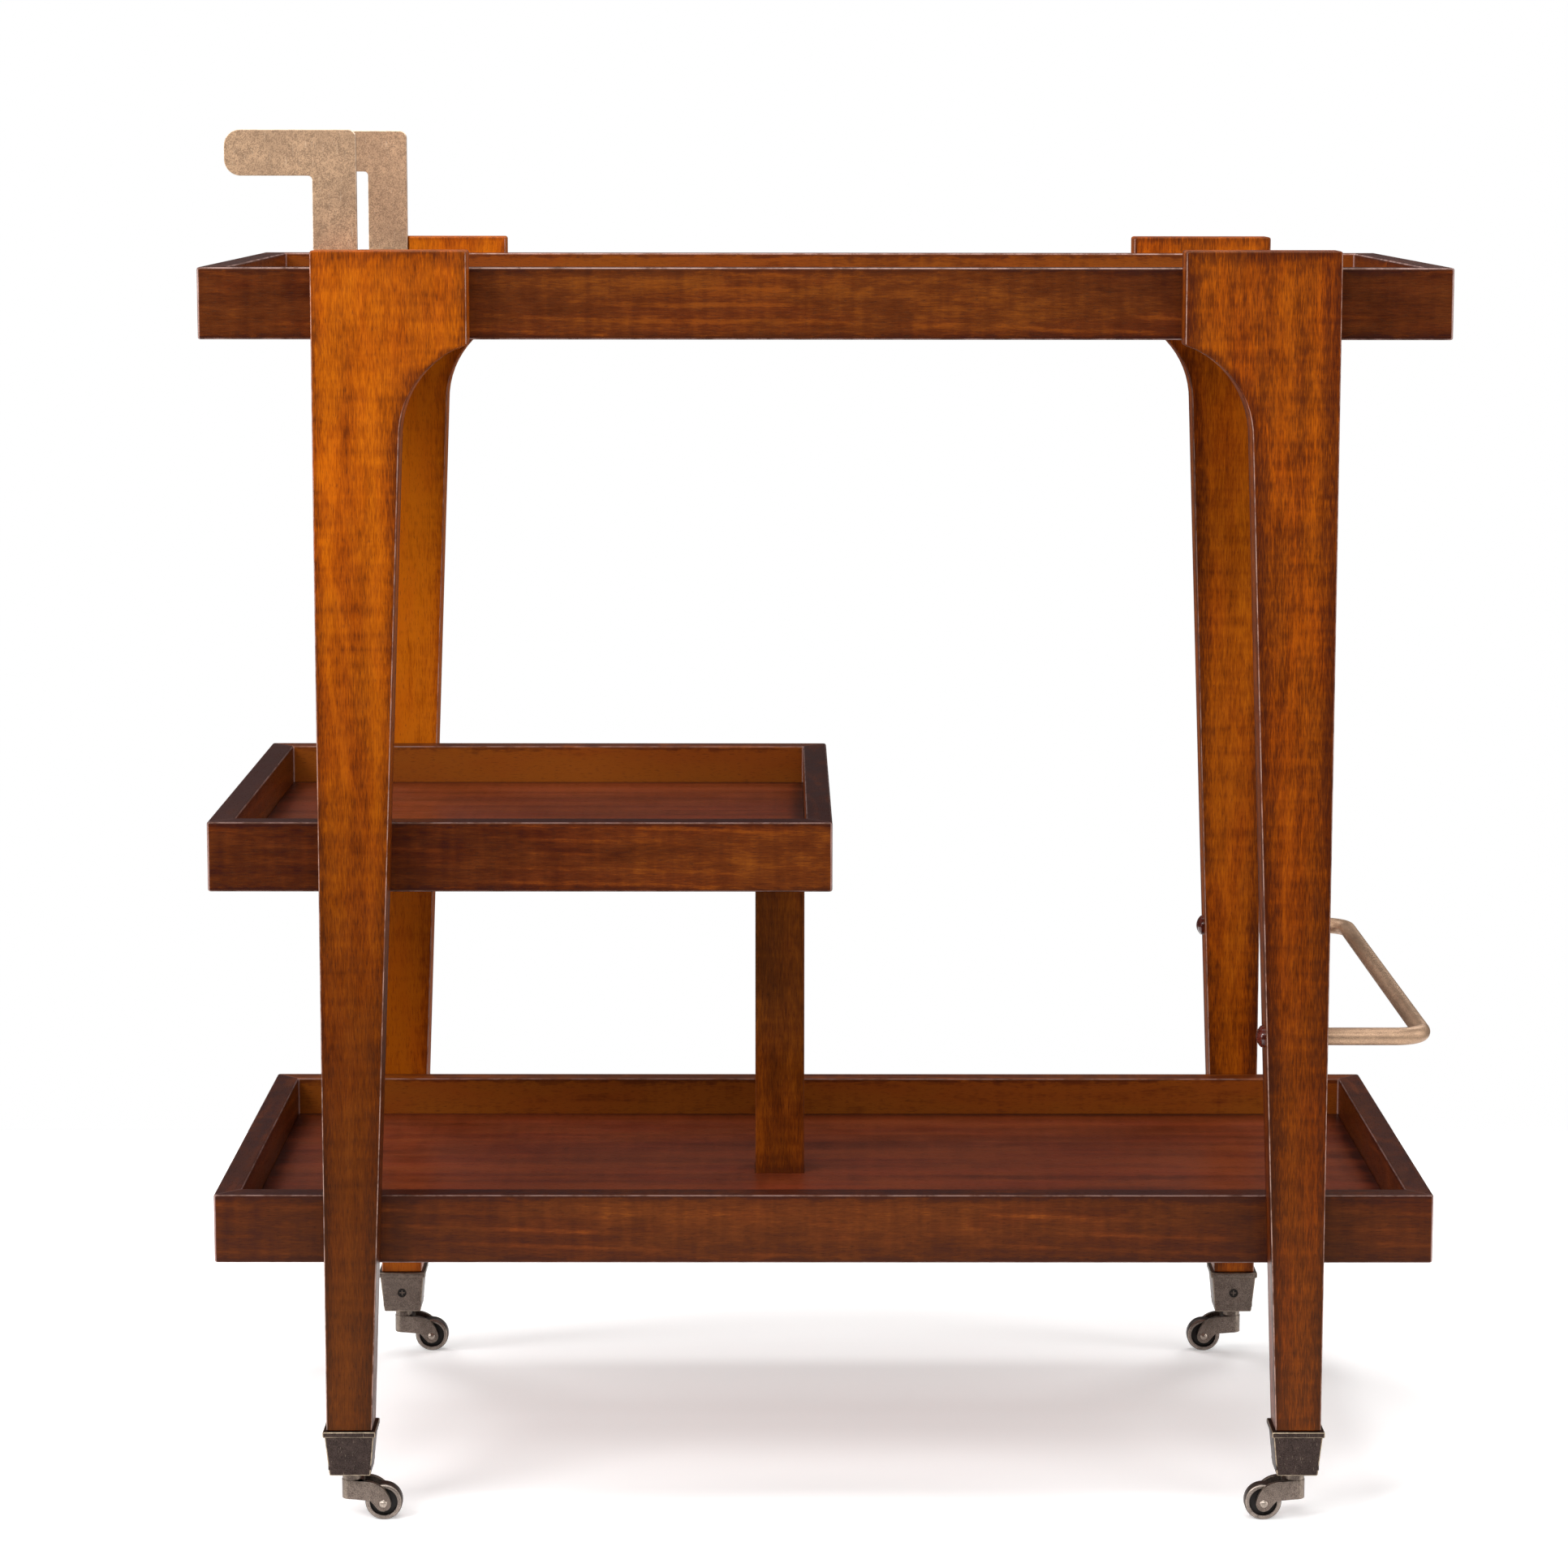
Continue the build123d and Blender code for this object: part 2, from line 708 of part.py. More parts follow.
def make_fork(side_x, side_y, name):
    centre_x = side_x * foot_mid_x
    centre_y = side_y * leg_mid_y
    trail = -side_x * caster_trail
    hub = fork_hub_diameter / 2
    half_width = fork_outer_width / 2
    fork_top = fork_bottom_height + fork_height
    slot_start = caster_trail - wheel_diameter / 2 - wheel_slot_gap
    horn_end = caster_trail + fork_boss_radius
    stem_top = cup_floor_height + swivel_gap + 2 * clip_thickness
    side_view = fork_side_view(centre_x, trail)
    with BuildPart() as fork:
        with BuildSketch(Plane.XZ.offset(-centre_y - half_width)):
            add(side_view)
        extrude(amount=fork_outer_width)
        # plan of the fork: round at the hub and wider at the horns
        with BuildSketch(Plane.XY.offset(axle_height - fork_boss_radius)):
            with Locations((centre_x, centre_y)):
                Circle(hub)
            with BuildLine():
                Polyline(
                    (centre_x, centre_y - hub),
                    (centre_x - side_x * caster_trail / 2, centre_y - half_width),
                    (centre_x - side_x * (horn_end + 1), centre_y - half_width),
                    (centre_x - side_x * (horn_end + 1), centre_y + half_width),
                    (centre_x - side_x * caster_trail / 2, centre_y + half_width),
                    (centre_x, centre_y + hub),
                    close=True,
                )
            make_face()
        extrude(amount=fork_top - axle_height + fork_boss_radius, mode=Mode.INTERSECT)
        # slot for the wheel
        slot_middle = (slot_start + horn_end + 2) / 2
        with Locations((centre_x - side_x * slot_middle, centre_y, axle_height)):
            Box(
                horn_end + 2 - slot_start,
                fork_slot_width,
                wheel_diameter * 2,
                mode=Mode.SUBTRACT,
            )
        # neck and stem
        with Locations((centre_x, centre_y, fork_top)):
            Cylinder(
                hub - 0.4,
                cup_bottom_height - swivel_gap - fork_top,
                align=(Align.CENTER, Align.CENTER, Align.MIN),
            )
            Cylinder(
                stem_diameter / 2,
                stem_top - fork_top,
                align=(Align.CENTER, Align.CENTER, Align.MIN),
            )
        with Locations(facing((centre_x + trail, centre_y, axle_height), (0, 1, 0))):
            Cylinder(axle_diameter / 2, fork_outer_width * 2, mode=Mode.SUBTRACT)
    write(fork.part, name)


def make_axle(side_x, side_y, name):
    centre = (side_x * (foot_mid_x - caster_trail), side_y * leg_mid_y, axle_height)
    half_width = fork_outer_width / 2
    dome = dome_middle(axle_head_diameter / 2, axle_head_height)
    with BuildPart() as axle:
        with BuildSketch(Plane.XZ):
            with BuildLine():
                Polyline((0, -half_width), (axle_head_diameter / 2, -half_width))
                ThreePointArc(
                    (axle_head_diameter / 2, -half_width),
                    (dome[0], -half_width - dome[1]),
                    (0, -half_width - axle_head_height),
                )
                Line((0, -half_width - axle_head_height), (0, -half_width))
            make_face()
        revolve(axis=Axis.Z)
        mirror(about=Plane.XY)
        Cylinder(axle_diameter / 2, fork_outer_width)
    write(facing(centre, (0, 1, 0)).from_local_coords(axle.part), name)


def make_wheel(side_x, side_y, name):
    centre = (side_x * (foot_mid_x - caster_trail), side_y * leg_mid_y, axle_height)
    tread = wheel_diameter / 2
    rim_inner = wheel_web_diameter / 2
    hub = wheel_hub_diameter / 2
    bore = axle_diameter / 2 + axle_running_gap
    with BuildPart() as wheel:
        with BuildSketch(Plane.XZ):
            with BuildLine():
                Polyline(
                    (bore, -wheel_hub_width / 2),
                    (hub, -wheel_hub_width / 2),
                    (hub, -wheel_web_thickness / 2),
                    (rim_inner, -wheel_web_thickness / 2),
                    (rim_inner, -wheel_width / 2),
                    (tread - tread_round, -wheel_width / 2),
                    (tread, -wheel_width / 2 + tread_round),
                    (tread, wheel_width / 2 - tread_round),
                    (tread - tread_round, wheel_width / 2),
                    (rim_inner, wheel_width / 2),
                    (rim_inner, wheel_web_thickness / 2),
                    (hub, wheel_web_thickness / 2),
                    (hub, wheel_hub_width / 2),
                    (bore, wheel_hub_width / 2),
                    close=True,
                )
            make_face()
        revolve(axis=Axis.Z)
    write(facing(centre, (0, 1, 0)).from_local_coords(wheel.part), name)


def make_clip(side_x, side_y, name):
    centre = (side_x * foot_mid_x, side_y * leg_mid_y)
    with BuildPart() as clip:
        with BuildSketch(Plane.XY.offset(cup_floor_height + swivel_gap)):
            with Locations(centre):
                Circle(clip_diameter / 2)
                Circle(stem_diameter / 2, mode=Mode.SUBTRACT)
        extrude(amount=clip_thickness)
    write(clip.part, name)


corners = (
    ("front_left", -1, -1),
    ("front_right", 1, -1),
    ("rear_left", -1, 1),
    ("rear_right", 1, 1),
)
for corner, side_x, side_y in corners:
    make_cup(side_x, side_y, f"caster_cup_{corner}")
    make_fork(side_x, side_y, f"caster_fork_{corner}")
    make_axle(side_x, side_y, f"caster_axle_{corner}")
    make_wheel(side_x, side_y, f"caster_wheel_{corner}")
    make_clip(side_x, side_y, f"caster_clip_{corner}")

cup_screw_planes = [cup_screw_plane(side_x, side_y) for corner, side_x, side_y in corners]
with BuildPart() as cup_screws:
    with Locations(*cup_screw_planes):
        add(cup_screw)
    cut_cross_slots(cup_screw_planes, cup_screw_head)
write(cup_screws.part, "caster_cup_screws")
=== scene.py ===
"""A three-tier wooden serving trolley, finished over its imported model. Metres, +Z up."""

import math

import bmesh
import bpy
from mathutils import Matrix, Vector


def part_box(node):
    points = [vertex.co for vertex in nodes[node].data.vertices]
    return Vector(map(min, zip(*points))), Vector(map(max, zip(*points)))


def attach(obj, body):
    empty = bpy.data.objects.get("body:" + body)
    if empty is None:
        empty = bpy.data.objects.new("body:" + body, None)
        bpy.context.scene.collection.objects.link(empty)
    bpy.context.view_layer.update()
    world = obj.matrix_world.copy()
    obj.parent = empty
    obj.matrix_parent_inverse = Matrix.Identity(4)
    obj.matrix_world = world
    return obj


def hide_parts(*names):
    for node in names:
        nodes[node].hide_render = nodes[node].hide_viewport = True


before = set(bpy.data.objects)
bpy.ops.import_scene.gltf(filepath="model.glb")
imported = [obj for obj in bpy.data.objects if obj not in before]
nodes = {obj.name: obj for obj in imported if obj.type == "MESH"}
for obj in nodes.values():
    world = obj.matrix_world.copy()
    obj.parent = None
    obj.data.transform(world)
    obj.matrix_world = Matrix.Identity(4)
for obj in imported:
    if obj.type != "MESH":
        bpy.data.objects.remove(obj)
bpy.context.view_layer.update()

# ---------------------------------------------------------------------------------------
# Camera, floor and lights
# A long lens at tray height in front of the trolley looks a little down at it. The floor
# and the walls are plain and pale, with soft lights at both sides, in front and above.
# ---------------------------------------------------------------------------------------
eye = Vector((-0.0334, -3.2005, 0.9536))
eye_turn = -0.00183
eye_dip = 0.1447
eye_roll = 0.00076

camera_data = bpy.data.cameras.new("studio_camera")
camera_data.sensor_width = 36.0
camera_data.lens = 101.32
camera = bpy.data.objects.new("studio_camera", camera_data)
bpy.context.scene.collection.objects.link(camera)
forward = Vector(
    (
        -math.sin(eye_turn) * math.cos(eye_dip),
        math.cos(eye_turn) * math.cos(eye_dip),
        -math.sin(eye_dip),
    )
)
level_right = Vector((math.cos(eye_turn), math.sin(eye_turn), 0.0))
level_up = level_right.cross(forward)
right = math.cos(eye_roll) * level_right + math.sin(eye_roll) * level_up
up = math.cos(eye_roll) * level_up - math.sin(eye_roll) * level_right
camera.matrix_world = Matrix(
    (
        (right.x, up.x, -forward.x, eye.x),
        (right.y, up.y, -forward.y, eye.y),
        (right.z, up.z, -forward.z, eye.z),
        (0.0, 0.0, 0.0, 1.0),
    )
)
bpy.context.scene.camera = camera
bpy.context.scene.view_settings.view_transform = "Standard"


def softbox(name, place, target, width, height, power):
    """A rectangular area light at a place, turned to look at a target."""
    data = bpy.data.lights.new(name, "AREA")
    data.shape = "RECTANGLE"
    data.size = width
    data.size_y = height
    data.energy = power
    lamp = bpy.data.objects.new(name, data)
    bpy.context.scene.collection.objects.link(lamp)
    lamp.location = place
    aim = Vector(target) - Vector(place)
    lamp.rotation_euler = aim.to_track_quat("-Z", "Y").to_euler()


middle = (0.0, 0.0, 0.55)
softbox("key_light", (-1.9, -2.3, 2.5), (0.0, 0.0, 0.85), 1.3, 1.3, 66.0)
softbox("fill_light", (2.1, -2.4, 1.9), middle, 1.3, 1.3, 18.0)
softbox("front_light", (0.0, -3.9, 2.7), (0.0, 0.0, 0.5), 2.4, 0.6, 64.0)
softbox("left_strip", (-2.4, -0.5, 1.2), middle, 0.6, 2.0, 34.0)
softbox("right_strip", (2.4, -0.5, 1.0), middle, 0.6, 2.0, 22.0)
softbox("top_light", (0.0, -0.1, 3.4), (0.0, 0.0, 0.0), 2.0, 2.0, 78.0)
softbox("back_left", (-1.8, 2.4, 2.9), middle, 1.2, 1.2, 30.0)
softbox("back_right", (1.8, 2.4, 2.9), middle, 1.2, 1.2, 30.0)

studio = bpy.data.worlds.new("studio")
studio.use_nodes = True
studio_tree = studio.node_tree
seen_wall = studio_tree.nodes["Background"]
seen_wall.inputs["Color"].default_value = (1.0, 1.0, 1.0, 1.0)
seen_wall.inputs["Strength"].default_value = 1.0
dim_room = studio_tree.nodes.new("ShaderNodeBackground")
dim_room.inputs["Color"].default_value = (1.0, 0.97, 0.94, 1.0)
dim_room.inputs["Strength"].default_value = 0.08
ray = studio_tree.nodes.new("ShaderNodeLightPath")
wall_mix = studio_tree.nodes.new("ShaderNodeMixShader")
studio_tree.links.new(ray.outputs["Is Camera Ray"], wall_mix.inputs[0])
studio_tree.links.new(dim_room.outputs[0], wall_mix.inputs[1])
studio_tree.links.new(seen_wall.outputs[0], wall_mix.inputs[2])
studio_tree.links.new(wall_mix.outputs[0], studio_tree.nodes["World Output"].inputs["Surface"])
bpy.context.scene.world = studio

bpy.ops.object.select_all(action="DESELECT")
bpy.ops.mesh.primitive_plane_add(size=2.0, location=(0.0, 0.0, 0.0))
floor = bpy.context.object
floor.name = "studio_floor"
floor_paint = bpy.data.materials.new("pale_floor")
floor_paint.use_nodes = True
floor_shader = floor_paint.node_tree.nodes["Principled BSDF"]
floor_shader.inputs["Base Color"].default_value = (0.9, 0.9, 0.9, 1.0)
floor_shader.inputs["Roughness"].default_value = 0.95
floor_shader.inputs["Specular IOR Level"].default_value = 0.0
floor_shader.inputs["Emission Color"].default_value = (1.0, 1.0, 1.0, 1.0)
floor_shader.inputs["Emission Strength"].default_value = 0.3
floor.data.materials.append(floor_paint)

# ---------------------------------------------------------------------------------------
# Legs
# Four flat hardwood boards: a wide head, a hollow cove and a tapering shaft. Amber stain
# under semi-gloss lacquer, dark towards the edges, pale on the arrises with wear and a painted
# highlight. Each leg is painted lighter or darker, and darker towards its foot: partly stain,
# partly painted light and shade for how the lamps reach it.
# ---------------------------------------------------------------------------------------


def put(tree, kind, settings=None, **sockets):
    """A new node with its settings, and its input sockets set or linked."""
    node = tree.nodes.new(kind)
    for key, value in (settings or {}).items():
        setattr(node, key, value)
    for key, value in sockets.items():
        numbered = key[0] == "i" and key[1:].isdigit()
        socket = node.inputs[int(key[1:])] if numbered else node.inputs[key]
        if isinstance(value, bpy.types.NodeSocket):
            tree.links.new(value, socket)
        else:
            socket.default_value = value
    return node


def calc(tree, operation, first, second=0.0, third=0.0):
    """A math node's result."""
    node = put(tree, "ShaderNodeMath", {"operation": operation}, i0=first, i1=second, i2=third)
    return node.outputs[0]


def ramp(tree, factor, low, high, to_low=0.0, to_high=1.0):
    """A factor taken smoothly from one range to another, and held at its ends."""
    if low > high:
        low, high, to_low, to_high = high, low, to_high, to_low
    node = put(
        tree, "ShaderNodeMapRange", {"interpolation_type": "SMOOTHSTEP"},
        Value=factor, i1=low, i2=high, i3=to_low, i4=to_high,
    )
    return node.outputs[0]


def blend_colour(tree, factor, first, second, kind="MIX"):
    """Two colours mixed by a factor."""
    node = tree.nodes.new("ShaderNodeMix")
    node.data_type = "RGBA"
    node.blend_type = kind
    for index, value in ((0, factor), (6, first), (7, second)):
        socket = node.inputs[index]
        if isinstance(value, bpy.types.NodeSocket):
            tree.links.new(value, socket)
        elif index:
            socket.default_value = (*value, 1.0)
        else:
            socket.default_value = value
    return node.outputs[2]


def noise(tree, place, scale, detail=2.0, roughness=0.5):
    """A noise value at a place."""
    node = put(
        tree, "ShaderNodeTexNoise",
        Vector=place, Scale=scale, Detail=detail, Roughness=roughness,
    )
    return node.outputs["Fac"]


def stretch(tree, place, scale, shift=(0.0, 0.0, 0.0)):
    """A place scaled and shifted."""
    return put(tree, "ShaderNodeMapping", Vector=place, Scale=scale, Location=shift).outputs[0]


def stops(tree, factor, colours):
    """A colour from a row of (position, colour) stops."""
    node = put(tree, "ShaderNodeValToRGB", Fac=factor)
    row = node.color_ramp.elements
    while len(row) < len(colours):
        row.new(0.5)
    for stop, (position, colour) in zip(row, colours):
        stop.position = position
        stop.color = (*colour, 1.0)
    return node.outputs["Color"]


def swing(tree, value, gain, base):
    """A noise value's swing about its middle, scaled and added to a base."""
    return calc(tree, "ADD", calc(tree, "MULTIPLY", calc(tree, "SUBTRACT", value, 0.5), gain), base)


def new_finish(name):
    """A material, its node tree and its Principled shader."""
    material = bpy.data.materials.new(name)
    material.use_nodes = True
    return material, material.node_tree, material.node_tree.nodes["Principled BSDF"]


def object_place(tree):
    """Where a point is, in the trolley's own frame, and how square its face looks."""
    where = put(tree, "ShaderNodeTexCoord")
    place = put(tree, "ShaderNodeSeparateXYZ", Vector=where.outputs["Object"])
    facing = put(tree, "ShaderNodeSeparateXYZ", Vector=where.outputs["Normal"])
    squareness = [calc(tree, "ABSOLUTE", facing.outputs[axis]) for axis in range(3)]
    return where.outputs["Object"], place.outputs, squareness


grain_orders = {"X": (1, 2, 0), "Y": (0, 2, 1), "Z": (0, 1, 2)}


def stained_wood(name, along, stain, shift, edge=None, wear_and_highlight=None, extra=None, gloss=0.36,
                 figure=0.0, mottle_gain=0.52, speckle_gain=0.95, stripe_gain=0.75, lift=0.0,
                 relief=0.16):
    """Stained hardwood under lacquer, with its grain along an axis."""
    material, tree, shader = new_finish(name)
    vector, place, facing = object_place(tree)
    order = grain_orders[along]
    board = put(
        tree, "ShaderNodeCombineXYZ", X=place[order[0]], Y=place[order[1]], Z=place[order[2]]
    ).outputs[0]
    board = stretch(tree, board, (1.0, 1.0, 1.0), shift)
    stripes = noise(tree, stretch(tree, board, (58.0, 58.0, 2.6)), 1.0, 3.0, 0.55)
    mottle = noise(tree, stretch(tree, board, (95.0, 95.0, 38.0)), 1.0, 5.0, 0.66)
    speckle = noise(tree, stretch(tree, board, (1200.0, 1200.0, 110.0)), 1.0, 3.0, 0.6)
    ripple = noise(tree, stretch(tree, board, (16.0, 16.0, 140.0)), 1.0, 2.0)
    hue = noise(tree, stretch(tree, board, (30.0, 30.0, 9.0)), 1.0, 3.0, 0.6)
    pores = noise(tree, stretch(tree, board, (1500.0, 1500.0, 190.0)), 1.0, 1.0)
    pores = ramp(tree, pores, 0.60, 0.70)
    tone = swing(tree, stripes, stripe_gain, 0.5 + lift)
    tone = swing(tree, mottle, mottle_gain, tone)
    tone = swing(tree, speckle, speckle_gain, tone)
    tone = swing(tree, ripple, 0.35, tone)
    if figure:
        part = put(tree, "ShaderNodeSeparateXYZ", Vector=board).outputs
        bend = noise(tree, stretch(tree, board, (10.0, 10.0, 2.5)), 1.0, 3.0)
        across = swing(tree, bend, 0.11, part[0])
        deep = swing(tree, bend, 0.05, calc(tree, "MULTIPLY_ADD", part[2], 0.035, part[1]))
        reach = calc(
            tree, "SQRT",
            calc(
                tree, "ADD", calc(tree, "MULTIPLY", across, across),
                calc(tree, "MULTIPLY", deep, deep),
            ),
        )
        rings = calc(tree, "SINE", calc(tree, "MULTIPLY", reach, 620.0))
        rings = ramp(tree, rings, 0.35, 1.0)
        faint = ramp(tree, hue, 0.42, 0.62)
        tone = calc(tree, "MULTIPLY_ADD", calc(tree, "MULTIPLY", rings, faint), figure, tone)
    if edge:
        tone = calc(tree, "SUBTRACT", tone, edge(tree, place, facing, mottle))
    colour = stops(
        tree, tone,
        (
            (0.0, stain["edge"]), (0.24, stain["dark"]), (0.5, stain["middle"]),
            (0.78, stain["bright"]),
        ),
    )
    reddish = ramp(tree, hue, 0.40, 0.66, 0.0, 0.55)
    colour = blend_colour(tree, reddish, colour, stain["blush"], "MULTIPLY")
    colour = blend_colour(
        tree, calc(tree, "MULTIPLY", pores, 0.5), colour, (0.30, 0.24, 0.22), "MULTIPLY"
    )
    if extra:
        colour = extra(tree, place, facing, colour)
    # Pale along the rounded edges: partly wear, partly a painted highlight where the edges catch the
    # lamps.
    if wear_and_highlight:
        edge_break_up = noise(tree, stretch(tree, vector, (55.0, 55.0, 55.0)), 1.0, 4.0, 0.7)
        edge_break_up = ramp(tree, edge_break_up, 0.38, 0.58, 0.25, 1.0)
        pale_edges = calc(tree, "MULTIPLY", wear_and_highlight(tree, place, facing), edge_break_up)
        colour = blend_colour(tree, pale_edges, colour, stain["wear_and_highlight"])
    tree.links.new(colour, shader.inputs["Base Color"])
    rough = swing(tree, mottle, 0.25, gloss)
    rough = calc(tree, "MULTIPLY_ADD", pores, 0.15, rough)
    tree.links.new(rough, shader.inputs["Roughness"])
    shader.inputs["Specular IOR Level"].default_value = 0.3
    shader.inputs["Specular Tint"].default_value = (1.0, 0.60, 0.32, 1.0)
    height = calc(tree, "MULTIPLY_ADD", pores, -0.8, speckle)
    bump = put(tree, "ShaderNodeBump", Strength=relief, Distance=0.0003, Height=height)
    tree.links.new(bump.outputs[0], shader.inputs["Normal"])
    return material


def dress(name, finish):
    """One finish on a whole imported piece."""
    nodes[name].data.materials.clear()
    nodes[name].data.materials.append(finish)


def arris(tree, place, facing):
    """The rounded edges of a straight board, where no face looks square along an axis."""
    squarest = calc(tree, "MAXIMUM", calc(tree, "MAXIMUM", facing[0], facing[1]), facing[2])
    return ramp(tree, squarest, 0.96, 0.84)


leg_low, leg_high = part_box("leg_front_right")
leg_outer = leg_high[0]
leg_head_inner = leg_low[0]
leg_thick = leg_high[1] - leg_low[1]
leg_top = leg_high[2]
leg_middle_y = -(leg_low[1] + leg_high[1]) / 2
cove_radius = 0.066
cove_foot = 0.755
shaft_inner = leg_outer - 0.0584
foot_inner = leg_outer - 0.0316
shaft_lean = (foot_inner - shaft_inner) / (cove_foot - 0.067)


def leg_edge_distance(tree, place, facing):
    """How far a point on a leg is from the nearest edge of its own face."""
    out = calc(tree, "ABSOLUTE", place[0])
    above = calc(tree, "MAXIMUM", calc(tree, "SUBTRACT", place[2], cove_foot), 0.0)
    below = calc(tree, "MAXIMUM", calc(tree, "SUBTRACT", cove_foot, place[2]), 0.0)
    bow = calc(tree, "SUBTRACT", cove_radius**2, calc(tree, "MULTIPLY", above, above))
    bow = calc(tree, "SQRT", calc(tree, "MAXIMUM", bow, 0.0))
    inner = calc(tree, "ADD", bow, shaft_inner - cove_radius)
    inner = calc(tree, "MAXIMUM", inner, leg_head_inner)
    inner = calc(tree, "MULTIPLY_ADD", below, shaft_lean, inner)
    from_inner = calc(tree, "SUBTRACT", out, inner)
    from_outer = calc(tree, "SUBTRACT", leg_outer, out)
    from_top = calc(tree, "SUBTRACT", leg_top, place[2])
    side = calc(tree, "MINIMUM", calc(tree, "MINIMUM", from_inner, from_outer), from_top)
    off_middle = calc(tree, "SUBTRACT", calc(tree, "ABSOLUTE", place[1]), leg_middle_y)
    flank = calc(tree, "SUBTRACT", leg_thick / 2, calc(tree, "ABSOLUTE", off_middle))
    on_face = ramp(tree, facing[1], 0.4, 0.8)
    return calc(
        tree, "ADD", calc(tree, "MULTIPLY", side, on_face),
        calc(tree, "MULTIPLY", flank, calc(tree, "SUBTRACT", 1.0, on_face)),
    )


def leg_edge(tree, place, facing, mottle):
    """Stain gathers dark along the edges, unevenly."""
    reach = calc(tree, "MAXIMUM", swing(tree, mottle, 0.05, 0.009), 0.003)
    near = calc(tree, "DIVIDE", leg_edge_distance(tree, place, facing), reach)
    return ramp(tree, near, 1.4, 0.0, 0.0, 0.27)


def leg_stain_and_painted_shade(foot_stain_and_shade):
    """Darker towards the foot of the leg: partly heavier stain, partly painted shade."""

    def fade(tree, place, facing, colour):
        lower = ramp(tree, place[2], 0.80, 0.20)
        return blend_colour(tree, lower, colour, foot_stain_and_shade, "MULTIPLY")

    return fade


def leg_arris(tree, place, facing):
    """The rounded edges round a leg's broad faces, painted pale: partly wear, partly a painted
    highlight.
    """
    rising = ramp(tree, facing[1], 0.35, 0.55)
    falling = ramp(tree, facing[1], 0.95, 0.86)
    straight = ramp(tree, facing[2], 0.10, 0.30, 0.52, 0.0)
    return calc(tree, "MULTIPLY", calc(tree, "MULTIPLY", rising, falling), straight)


amber = {
    "bright": (0.56, 0.135, 0.0020),
    "middle": (0.36, 0.074, 0.0014),
    "dark": (0.160, 0.030, 0.0018),
    "edge": (0.070, 0.011, 0.0025),
    "blush": (0.92, 0.70, 0.80),
    "wear_and_highlight": (0.62, 0.40, 0.33),
}
# Per leg: a tone lift and a darkening towards the foot. One stain on all four legs, so these are
# partly stain and partly painted light and shade, the rear left leg painted lightest.
leg_light_and_stain_tones = {
    "front_left": (0.03, (0.18, 0.155, 0.45)),
    "front_right": (-0.13, (0.40, 0.36, 0.5)),
    "rear_left": (0.26, (0.62, 0.58, 0.8)),
    "rear_right": (0.0, (0.66, 0.64, 0.8)),
}
for number, (corner, (lift, foot_stain_and_shade)) in enumerate(leg_light_and_stain_tones.items()):
    dress(
        f"leg_{corner}",
        stained_wood(
            f"amber_leg_{corner}", "Z", amber,
            (0.30 + 0.17 * number, 0.12 + 0.05 * number, 0.4 * number),
            edge=leg_edge, wear_and_highlight=leg_arris, extra=leg_stain_and_painted_shade(foot_stain_and_shade), figure=0.10, lift=lift,
        ),
    )

# ---------------------------------------------------------------------------------------
# Trays
# Three open trays: mitred rails round a veneered floor panel held in a groove. Dark
# red-brown stain, pale along the rims with wear and a painted highlight, painted shade
# on the rim tops and painted light on the lower tray's rim tops.
# ---------------------------------------------------------------------------------------
mahogany = {
    "bright": (0.210, 0.052, 0.0050),
    "middle": (0.108, 0.0230, 0.0040),
    "dark": (0.062, 0.0120, 0.0030),
    "edge": (0.032, 0.0055, 0.0042),
    "blush": (0.95, 0.72, 0.95),
    "wear_and_highlight": (0.50, 0.33, 0.30),
}
veneer = dict(
    mahogany, bright=(0.190, 0.036, 0.0095), middle=(0.130, 0.0230, 0.0070),
    dark=(0.080, 0.0130, 0.0045),
)


